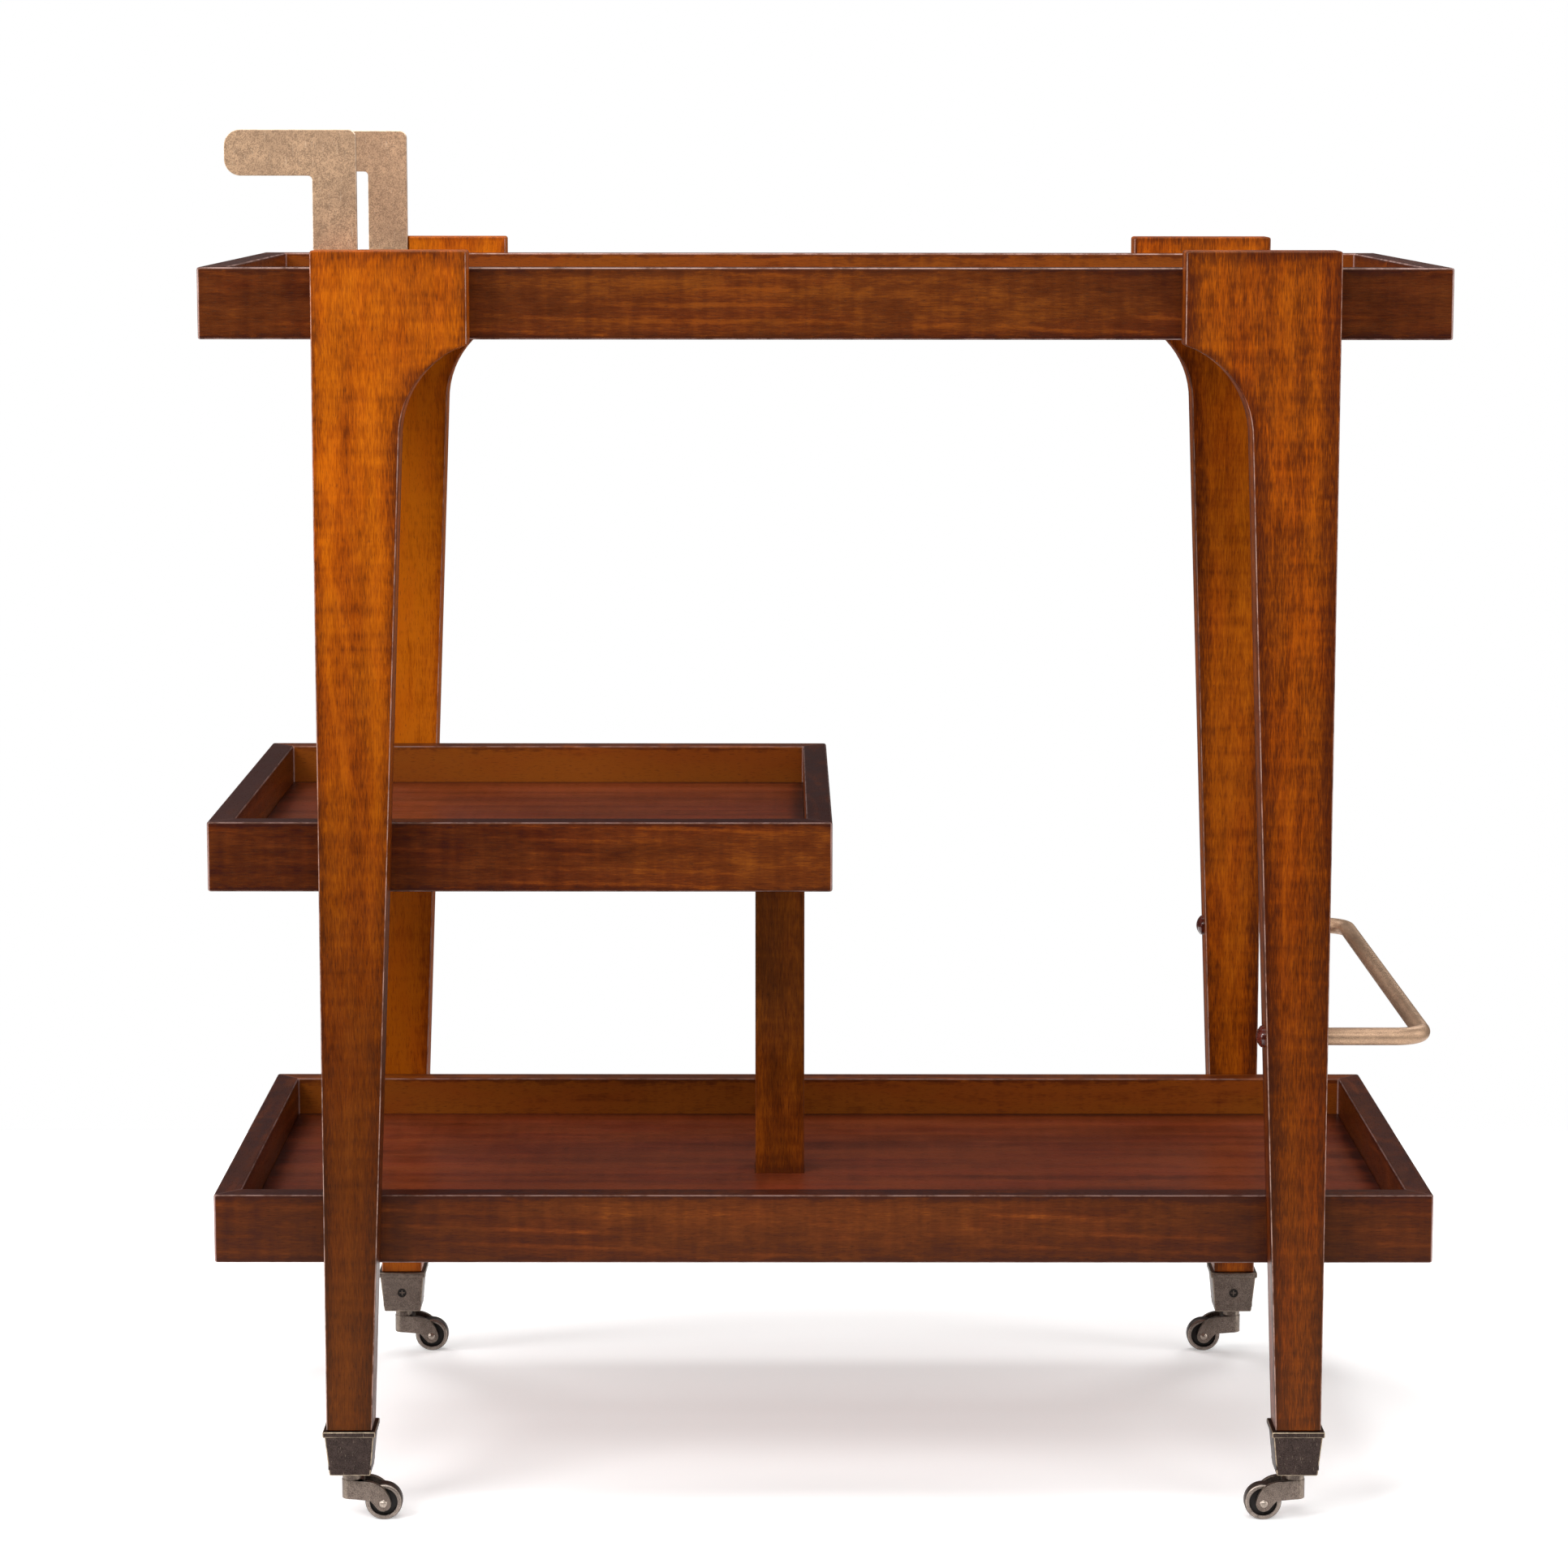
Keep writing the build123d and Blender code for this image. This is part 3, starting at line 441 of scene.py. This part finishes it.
def rail_finish(name, along, rail, shift, wear_and_highlight_share, lift, leg_shadow_depth, rim_top_painted_shading):
    """A rail's stain, dark along its long edges, with painted shade: the legs' shadow towards the
    front rails' ends, and rim tops painted darker (lighter on the lower tray). The pale line at its
    inner mitres is a painted highlight.
    """
    low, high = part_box(rail)
    tray = rail.rsplit("_", 2)[0]
    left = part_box(f"{tray}_left_rail")[0][0]
    right_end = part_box(f"{tray}_right_rail")[1][0]
    half_length = (right_end - left) / 2
    middle_x = (right_end + left) / 2
    half_depth = -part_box(f"{tray}_front_rail")[0][1]

    def edge(tree, place, facing, mottle):
        from_top = calc(tree, "SUBTRACT", high[2], place[2])
        from_foot = calc(tree, "SUBTRACT", place[2], low[2])
        reach = calc(tree, "MAXIMUM", swing(tree, mottle, 0.03, 0.004), 0.002)
        near = calc(tree, "DIVIDE", calc(tree, "MINIMUM", from_top, from_foot), reach)
        # Rim tops painted darker, and the lower tray's lighter, for how the light falls on them.
        painted_rim_shading = ramp(tree, facing[2], 0.6, 0.9, 0.0, rim_top_painted_shading)
        near = calc(tree, "ADD", ramp(tree, near, 1.4, 0.1, 0.0, 0.42), painted_rim_shading)
        # Painted shadow of the legs: the front rails darken towards their ends, beside the legs.
        off_middle = calc(tree, "ABSOLUTE", place[0])
        painted_leg_shadow = ramp(tree, off_middle, 0.10, 0.27, 0.0, leg_shadow_depth)
        return calc(tree, "ADD", near, painted_leg_shadow)

    # A pale line down the inner mitres: a painted highlight where the corner catches the light,
    # drawn in the pale edge colour.
    def mitre_highlight(tree, place, facing, colour):
        along_x = calc(tree, "ABSOLUTE", calc(tree, "SUBTRACT", place[0], middle_x))
        along_x = calc(tree, "SUBTRACT", half_length, along_x)
        inward = calc(tree, "SUBTRACT", half_depth, calc(tree, "ABSOLUTE", place[1]))
        gap = calc(tree, "ABSOLUTE", calc(tree, "SUBTRACT", along_x, inward))
        line = ramp(tree, gap, 0.0011, 0.0005)
        below_rim = ramp(tree, calc(tree, "SUBTRACT", high[2], place[2]), 0.0005, 0.002, 0.12, 0.6)
        return blend_colour(tree, calc(tree, "MULTIPLY", line, below_rim), colour, mahogany["wear_and_highlight"])

    def wear_and_highlight(tree, place, facing):
        return calc(tree, "MULTIPLY", arris(tree, place, facing), wear_and_highlight_share)

    return stained_wood(
        name, along, mahogany, shift, edge=edge, wear_and_highlight=wear_and_highlight, extra=mitre_highlight, gloss=0.34,
        figure=0.22, mottle_gain=0.7, speckle_gain=0.6, stripe_gain=0.7, lift=lift,
    )


def floor_painted_shade(tray):
    """Painted shade on a floor panel, darkest where it meets the rails round it."""
    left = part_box(f"{tray}_tray_left_rail")[1][0]
    right_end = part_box(f"{tray}_tray_right_rail")[0][0]
    half_depth = -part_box(f"{tray}_tray_front_rail")[1][1]

    def edge(tree, place, facing, mottle):
        from_side = calc(
            tree, "MINIMUM", calc(tree, "SUBTRACT", place[0], left),
            calc(tree, "SUBTRACT", right_end, place[0]),
        )
        from_front = calc(tree, "SUBTRACT", half_depth, calc(tree, "ABSOLUTE", place[1]))
        near = calc(tree, "MINIMUM", from_side, from_front)
        return ramp(tree, near, 0.014, 0.001, 0.0, 0.6)

    return edge


# Each tray's rail tone lift, and a higher lift for its rear rail: the rear rails are painted lighter
# for the light that falls on their inner faces.
tray_lifts = {"top": (0.02, 0.28), "middle": (-0.05, 0.42), "lower": (-0.16, 0.26)}
for number, (tray, (rail_lift, rear_painted_light)) in enumerate(tray_lifts.items()):
    for turn, (side, along) in enumerate(
        (("front", "X"), ("rear", "X"), ("left", "Y"), ("right", "Y"))
    ):
        name = f"{tray}_tray_{side}_rail"
        shift = (0.06 + 0.03 * turn, 0.02 + 0.04 * number, 0.31 * number + 0.17 * turn)
        # The rims' pale edges, wear and a painted highlight, strongest on the top tray.
        wear_and_highlight_share = 0.6 if tray == "top" else 0.3
        # Rear rails painted lighter.
        lift = rear_painted_light if side == "rear" else rail_lift
        # Only the front rails get the painted shadow of the legs.
        leg_shadow_depth = 0.16 if side == "front" else 0.0
        # Painted shade on the rim tops; negative for the lower tray, which is painted light.
        rim_top_painted_shading = -0.22 if tray == "lower" else 0.08
        finish = rail_finish(
            f"stained_{name}", along, name, shift, wear_and_highlight_share, lift, leg_shadow_depth, rim_top_painted_shading
        )
        dress(name, finish)
    dress(
        f"{tray}_tray_floor",
        stained_wood(
            f"veneered_{tray}_tray_floor", "X", veneer, (0.1 + 0.2 * number, 0.03, 0.2),
            edge=floor_painted_shade(tray), gloss=0.34, figure=0.05, mottle_gain=0.55, speckle_gain=0.3,
            stripe_gain=1.2, lift=0.10, relief=0.02,
        ),
    )

# ---------------------------------------------------------------------------------------
# Support post
# A square hardwood post that carries the open end of the middle tray. Stained darker than
# the legs, housed and screwed in the lower floor and dowelled into the middle one.
# ---------------------------------------------------------------------------------------
post_low, post_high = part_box("support_post")
post_stain = dict(
    amber, bright=(0.220, 0.054, 0.0025), middle=(0.125, 0.027, 0.0020), dark=(0.070, 0.014, 0.0020)
)


def post_edge(tree, place, facing, mottle):
    """Darker towards the post's two ends."""
    from_end = calc(
        tree, "MINIMUM", calc(tree, "SUBTRACT", place[2], post_low[2]),
        calc(tree, "SUBTRACT", post_high[2], place[2]),
    )
    return ramp(tree, from_end, 0.02, 0.0, 0.0, 0.3)


dress(
    "support_post",
    stained_wood("amber_post", "Z", post_stain, (0.05, 0.07, 0.3), edge=post_edge, figure=0.08),
)

# ---------------------------------------------------------------------------------------
# Handle
# Two flat brass bars, cut to an inverted L and let into the legs, with a round push bar
# between them. Antiqued matte brass with a fine speckle, rubbed bright on its edges.
# ---------------------------------------------------------------------------------------


grit_depth = 0.00006


def antique_metal(name, tint, dark, rubbed, speckle=2200.0, roughness=0.45, metallic=0.8,
                  patch=0.35, rub_share=0.8):
    """Aged metal: a fine speckle, soft dark patches, hair scratches and rubbed edges."""
    material, tree, shader = new_finish(name)
    vector, place, facing = object_place(tree)
    grit = noise(tree, vector, speckle, 3.0, 0.65)
    cloud = noise(tree, vector, speckle * 0.16, 3.0, 0.6)
    patches = noise(tree, vector, speckle * 0.03, 4.0, 0.6)
    hair = noise(tree, stretch(tree, vector, (2600.0, 2600.0, 90.0)), 1.0, 1.0)
    tone = swing(tree, grit, 2.6, 0.5)
    tone = swing(tree, cloud, 1.0, tone)
    colour = blend_colour(tree, ramp(tree, tone, 0.1, 0.9), dark, tint)
    stained = ramp(tree, patches, 0.42, 0.68, 0.0, patch)
    colour = blend_colour(tree, stained, colour, dark)
    colour = blend_colour(tree, ramp(tree, hair, 0.70, 0.76, 0.0, 0.35), colour, rubbed)
    pale_edges = calc(tree, "MULTIPLY", arris(tree, place, facing), rub_share)
    pale_edges = calc(tree, "MULTIPLY", pale_edges, ramp(tree, cloud, 0.35, 0.6, 0.5, 1.0))
    colour = blend_colour(tree, pale_edges, colour, rubbed)
    tree.links.new(colour, shader.inputs["Base Color"])
    shader.inputs["Metallic"].default_value = metallic
    rough = swing(tree, cloud, 0.4, roughness)
    tree.links.new(rough, shader.inputs["Roughness"])
    bump = put(tree, "ShaderNodeBump", Strength=0.4, Distance=grit_depth, Height=grit)
    tree.links.new(bump.outputs[0], shader.inputs["Normal"])
    return material


plate_brass = antique_metal(
    "antique_brass_plate", (0.56, 0.355, 0.21), (0.27, 0.165, 0.097), (0.95, 0.78, 0.60),
    speckle=1300.0, roughness=0.55, metallic=0.35,
)
for name in ("handle_plate_front", "handle_plate_rear", "push_bar"):
    dress(name, plate_brass)

# ---------------------------------------------------------------------------------------
# Towel rail
# One brass rod bent to a U at the right end, screwed to the legs by bolts whose domed
# heads, on the legs' inner edges, are lacquered dark red-brown.
# ---------------------------------------------------------------------------------------
dress(
    "towel_rail",
    antique_metal(
        "satin_brass_rod", (0.55, 0.36, 0.23), (0.33, 0.21, 0.135), (0.66, 0.48, 0.32),
        speckle=1500.0, roughness=0.48, metallic=0.7, patch=0.25, rub_share=0.0,
    ),
)
bolt_finish, bolt_tree, bolt_shader = new_finish("red_brown_lacquer")
bolt_vector = object_place(bolt_tree)[0]
bolt_mottle = noise(bolt_tree, bolt_vector, 300.0, 3.0)
bolt_colour = blend_colour(
    bolt_tree, ramp(bolt_tree, bolt_mottle, 0.35, 0.65), (0.050, 0.007, 0.004), (0.100, 0.016, 0.009)
)
bolt_tree.links.new(bolt_colour, bolt_shader.inputs["Base Color"])
bolt_gloss = swing(bolt_tree, bolt_mottle, 0.3, 0.18)
bolt_tree.links.new(bolt_gloss, bolt_shader.inputs["Roughness"])
bolt_shader.inputs["Coat Weight"].default_value = 0.6
dress("towel_rail_bolts", bolt_finish)

# ---------------------------------------------------------------------------------------
# Caster cups
# Square tapered cups, cast with a beaded flange and plated antique pewter. Each takes the
# reduced foot of a leg, and a dark cross-head screw in its inner face holds it there.
# ---------------------------------------------------------------------------------------
foot_x = (leg_outer + foot_inner) / 2
foot_y = leg_middle_y
corner_signs = {
    "front_left": (-1, -1), "front_right": (1, -1), "rear_left": (-1, 1), "rear_right": (1, 1),
}
cup_low, cup_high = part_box("caster_cup_front_left")
cup_height = cup_high[2] - cup_low[2]
flange_width = cup_high[0] - cup_low[0]
flange_height = 0.004
cup_foot_width = 0.0286
cup_head_width = 0.0342
cup_mouth_width = 0.0298
cup_mouth_depth = 0.028
cup_corner_round = 0.0011
cup_foot_round = 0.0012
flange_bead = 0.0009
cup_screw_z = 0.050
cup_screw_radius = 0.0034
cup_screw_sink = 0.0003
screw_clearance = 0.0003
sink_cutter_depth = 0.004
near_enough = 0.0001


def pick(kind, test):
    """In edit mode, select just the faces or edges that pass a test."""
    bpy.ops.mesh.select_mode(type=kind)
    bpy.ops.mesh.select_all(action="DESELECT")
    mesh = bmesh.from_edit_mesh(bpy.context.object.data)
    for part in mesh.faces if kind == "FACE" else mesh.edges:
        part.select_set(test(part))
    mesh.select_flush_mode()
    bmesh.update_edit_mesh(bpy.context.object.data)


def edge_middle(edge):
    """The point halfway along an edge."""
    return (edge.verts[0].co + edge.verts[1].co) / 2


def upright(edge):
    """Whether an edge runs mostly up and down."""
    run = edge.verts[1].co - edge.verts[0].co
    return abs(run.z) > 0.9 * run.length


def off_axis(point):
    """How far out a point of a square cup is from the cup's axis."""
    return max(abs(point.x), abs(point.y))


def on_flange_rim(point):
    """Whether a point lies round the outside of the flange."""
    reach = off_axis(point)
    above_step = point.z > cup_high[2] - flange_height - 2 * near_enough
    return reach > flange_width / 2 - 5 * near_enough and above_step


def alone(piece):
    """Select one object and nothing else."""
    bpy.ops.object.select_all(action="DESELECT")
    piece.select_set(True)
    bpy.context.view_layer.objects.active = piece


def cast_again(pattern, name, turn, shift):
    """A copy of a piece with its own mesh, turned and moved within that mesh."""
    copy = bpy.data.objects.new(name, pattern.data.copy())
    bpy.context.scene.collection.objects.link(copy)
    copy.data.transform(Matrix.Translation(shift) @ turn)
    return copy


bpy.ops.object.select_all(action="DESELECT")
bpy.ops.mesh.primitive_cube_add(
    size=1.0, location=(0.0, 0.0, cup_low[2] + (cup_height - flange_height) / 2),
    scale=(cup_foot_width, cup_foot_width, cup_height - flange_height),
)
cup_pattern = bpy.context.object
cup_pattern.name = "cup_pattern"
bpy.ops.object.transform_apply(location=True, rotation=True, scale=True)
bpy.ops.object.mode_set(mode="EDIT")
taper = cup_head_width / cup_foot_width
pick("FACE", lambda f: f.normal.z > 0.9)
bpy.ops.transform.resize(value=(taper, taper, 1.0))
bpy.ops.mesh.extrude_region_move(TRANSFORM_OT_translate={"value": (0.0, 0.0, 0.0)})
step_out = flange_width / cup_head_width
bpy.ops.transform.resize(value=(step_out, step_out, 1.0))
bpy.ops.mesh.extrude_region_move(TRANSFORM_OT_translate={"value": (0.0, 0.0, flange_height)})
bpy.ops.mesh.inset(thickness=(flange_width - cup_mouth_width) / 2)
bpy.ops.mesh.extrude_region_move(TRANSFORM_OT_translate={"value": (0.0, 0.0, -cup_mouth_depth)})
outside_mouth = (cup_mouth_width + near_enough) / 2
pick("EDGE", lambda e: upright(e) and off_axis(edge_middle(e)) > outside_mouth)
bpy.ops.mesh.bevel(offset=cup_corner_round, segments=3, affect="EDGES")
pick("EDGE", lambda e: not upright(e) and all(on_flange_rim(v.co) for v in e.verts))
bpy.ops.mesh.bevel(offset=flange_bead, segments=4, affect="EDGES")
pick("EDGE", lambda e: not upright(e) and edge_middle(e).z < cup_low[2] + 2 * near_enough)
bpy.ops.mesh.bevel(offset=cup_foot_round, segments=3, affect="EDGES")
bpy.ops.mesh.select_all(action="SELECT")
bpy.ops.mesh.normals_make_consistent(inside=False)
bpy.ops.object.mode_set(mode="OBJECT")

lean = (cup_head_width - cup_foot_width) / 2 / (cup_height - flange_height)
cup_face = cup_foot_width / 2 + (cup_screw_z - cup_low[2]) * lean
bpy.ops.object.select_all(action="DESELECT")
bpy.ops.mesh.primitive_cylinder_add(
    vertices=32, radius=cup_screw_radius + screw_clearance, depth=sink_cutter_depth,
    location=(0.0, cup_face - cup_screw_sink + sink_cutter_depth * 3 / 8, cup_screw_z),
    rotation=(math.pi / 2, 0.0, 0.0),
)
sink_cutter = bpy.context.object
alone(cup_pattern)
sink = cup_pattern.modifiers.new("screw_sink", "BOOLEAN")
sink.object = sink_cutter
sink.operation = "DIFFERENCE"
bpy.ops.object.modifier_apply(modifier=sink.name)
bpy.data.objects.remove(sink_cutter)
alone(cup_pattern)
bpy.ops.object.shade_smooth_by_angle(angle=math.radians(40.0))


def antique_pewter(name, tint, dark, rubbed, rub_share, roughness, metallic=0.85):
    """Mottled pewter plating, rubbed brassy where rub_share says."""
    return antique_metal(
        name, tint, dark, rubbed, speckle=1500.0, rub_share=rub_share, roughness=roughness,
        metallic=metallic,
    )


# One pewter for all four cups, painted darker on the front cups and lighter on the rear: painted
# shade and painted light.
front_cup_painted_dark = antique_pewter(
    "pewter_cup_front_painted_dark", (0.060, 0.040, 0.034), (0.020, 0.013, 0.011), (0.50, 0.40, 0.28), 0.9, 0.42
)
rear_cup_painted_light = antique_pewter(
    "pewter_cup_rear_painted_light", (0.200, 0.155, 0.128), (0.085, 0.064, 0.053), (0.46, 0.37, 0.27), 0.60, 0.42
)
for corner, (side_x, side_y) in corner_signs.items():
    half_turn = Matrix.Rotation(math.pi if side_y > 0 else 0.0, 4, "Z")
    cup = cast_again(
        cup_pattern, f"cast_cup_{corner}", half_turn, (side_x * foot_x, side_y * foot_y, 0.0)
    )
    cup.data.materials.append(front_cup_painted_dark if side_y < 0 else rear_cup_painted_light)
    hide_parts(f"caster_cup_{corner}")
    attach(cup, "cart")
bpy.data.objects.remove(cup_pattern)

dress(
    "caster_cup_screws",
    antique_metal(
        "dark_screw_steel", (0.030, 0.026, 0.023), (0.010, 0.009, 0.008), (0.20, 0.165, 0.13),
        rub_share=0.6,
    ),
)

# ---------------------------------------------------------------------------------------
# Caster forks, axles and clips
# Cast two-horned forks that swivel on a stem in the cup, with soft worn edges. A riveted
# axle holds the wheel between the horns, and a clip keeps the stem in the cup.
# ---------------------------------------------------------------------------------------
fork_edge_round = 0.0007
fork_finish = antique_pewter(
    "pewter_fork", (0.230, 0.180, 0.150), (0.090, 0.068, 0.056), (0.50, 0.41, 0.31), 0.22, 0.36
)
for corner in corner_signs:
    fork = nodes[f"caster_fork_{corner}"].copy()
    fork.data = fork.data.copy()
    fork.name = f"cast_fork_{corner}"
    fork.parent = None
    bpy.context.scene.collection.objects.link(fork)
    fork.matrix_world = Matrix.Identity(4)
    alone(fork)
    bpy.ops.object.mode_set(mode="EDIT")
    bpy.ops.mesh.select_all(action="SELECT")
    bpy.ops.mesh.remove_doubles(threshold=near_enough / 10)
    bpy.ops.mesh.dissolve_limited(angle_limit=math.radians(1.0))
    bpy.ops.object.mode_set(mode="OBJECT")
    soften = fork.modifiers.new("soft_edges", "BEVEL")
    soften.width = fork_edge_round
    soften.segments = 3
    soften.limit_method = "ANGLE"
    soften.angle_limit = math.radians(35.0)
    bpy.ops.object.modifier_apply(modifier=soften.name)
    bpy.ops.object.shade_smooth_by_angle(angle=math.radians(40.0))
    fork.data.materials.clear()
    fork.data.materials.append(fork_finish)
    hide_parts(f"caster_fork_{corner}")
    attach(fork, f"swivel_{corner}")

rivet_steel = antique_metal(
    "plated_steel", (0.46, 0.38, 0.32), (0.22, 0.18, 0.15), (0.62, 0.53, 0.45),
    roughness=0.32, rub_share=0.2,
)
for corner in corner_signs:
    dress(f"caster_axle_{corner}", rivet_steel)
    dress(f"caster_clip_{corner}", rivet_steel)

# ---------------------------------------------------------------------------------------
# Caster wheels
# Small turned wheels: a rounded dark tread, a bright rubbed rim ring on each side, and a
# very dark web sunk between the rim and the hub, bored for the axle.
# ---------------------------------------------------------------------------------------
wheel_low, wheel_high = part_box("caster_wheel_front_left")
wheel_radius = (wheel_high[2] - wheel_low[2]) / 2
hub_width = wheel_high[1] - wheel_low[1]
tread_width = 0.0106
rim_ring = 0.0034
web_sink = 0.0028
hub_radius = 0.0038
bore_radius = 0.00205
tread_round = 0.0022
rim_round = 0.0004


def from_axle(point):
    """A point's distance from the wheel's axle."""
    return math.hypot(point.x, point.z)


bpy.ops.object.select_all(action="DESELECT")
bpy.ops.mesh.primitive_cylinder_add(
    vertices=64, radius=wheel_radius, depth=tread_width, rotation=(math.pi / 2, 0.0, 0.0)
)
wheel_pattern = bpy.context.object
bpy.ops.object.transform_apply(location=True, rotation=True, scale=True)
bpy.ops.object.mode_set(mode="EDIT")
pick("FACE", lambda f: abs(f.normal.y) > 0.9)
bpy.ops.mesh.inset(thickness=rim_ring, use_individual=True)
bpy.ops.mesh.extrude_region_shrink_fatten(TRANSFORM_OT_shrink_fatten={"value": -web_sink})
bpy.ops.mesh.inset(thickness=wheel_radius - rim_ring - hub_radius, use_individual=True)
hub_stand = hub_width / 2 - (tread_width / 2 - web_sink)
bpy.ops.mesh.extrude_region_shrink_fatten(TRANSFORM_OT_shrink_fatten={"value": hub_stand})
bpy.ops.mesh.inset(thickness=hub_radius - bore_radius, use_individual=True)
bpy.ops.mesh.bridge_edge_loops()
pick(
    "EDGE",
    lambda e: from_axle(edge_middle(e)) > wheel_radius - near_enough
    and abs(e.verts[0].co.y - e.verts[1].co.y) < near_enough,
)
bpy.ops.mesh.bevel(offset=tread_round, segments=4, affect="EDGES")
pick(
    "EDGE",
    lambda e: abs(from_axle(edge_middle(e)) - wheel_radius + rim_ring) < near_enough
    and abs(edge_middle(e).y) > tread_width / 2 - near_enough,
)
bpy.ops.mesh.bevel(offset=rim_round, segments=2, affect="EDGES")
bpy.ops.mesh.select_all(action="SELECT")
bpy.ops.mesh.normals_make_consistent(inside=False)
bpy.ops.object.mode_set(mode="OBJECT")
bpy.ops.object.shade_smooth_by_angle(angle=math.radians(40.0))
wheel_pattern.data.materials.append(
    antique_metal(
        "dark_tread", (0.110, 0.085, 0.075), (0.040, 0.030, 0.026), (0.30, 0.24, 0.20),
        roughness=0.45, rub_share=0.0,
    )
)
wheel_pattern.data.materials.append(
    antique_metal(
        "rubbed_rim", (0.340, 0.280, 0.240), (0.130, 0.102, 0.087), (0.55, 0.46, 0.38),
        roughness=0.34, rub_share=0.3,
    )
)
wheel_pattern.data.materials.append(
    antique_metal(
        "very_dark_web", (0.022, 0.017, 0.015), (0.009, 0.007, 0.006), (0.10, 0.08, 0.06),
        roughness=0.55, rub_share=0.1, metallic=0.5,
    )
)
for face in wheel_pattern.data.polygons:
    reach = from_axle(face.center)
    if reach < wheel_radius - rim_ring + near_enough:
        face.material_index = 2
    elif abs(face.center.y) > tread_width / 2 - 0.0008:
        face.material_index = 1
for corner in corner_signs:
    low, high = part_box(f"caster_wheel_{corner}")
    place = [(low[axis] + high[axis]) / 2 for axis in range(3)]
    wheel = cast_again(wheel_pattern, f"turned_wheel_{corner}", Matrix.Identity(4), place)
    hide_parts(f"caster_wheel_{corner}")
    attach(wheel, f"wheel_{corner}")
bpy.data.objects.remove(wheel_pattern)

# ---------------------------------------------------------------------------------------
# Wood screws and dowels
# Zinc-plated cross-head screws under the trays, in the post and behind the handle plates,
# and two plain beech dowels in the head of the post.
# ---------------------------------------------------------------------------------------
zinc = antique_metal(
    "zinc_screw", (0.55, 0.50, 0.36), (0.30, 0.27, 0.19), (0.66, 0.62, 0.50), roughness=0.35
)
for name in ("top_tray_screws", "middle_tray_screws", "lower_tray_screws", "post_screws",
             "handle_plate_screws"):
    dress(name, zinc)
bare_beech = dict(
    bright=(0.62, 0.42, 0.22), middle=(0.50, 0.32, 0.16), dark=(0.40, 0.25, 0.12),
    edge=(0.30, 0.18, 0.09), blush=(1.0, 0.95, 0.9), wear_and_highlight=(0.6, 0.5, 0.4),
)
dress("post_dowels", stained_wood("bare_dowel", "Z", bare_beech, (0.02, 0.02, 0.0), gloss=0.6))
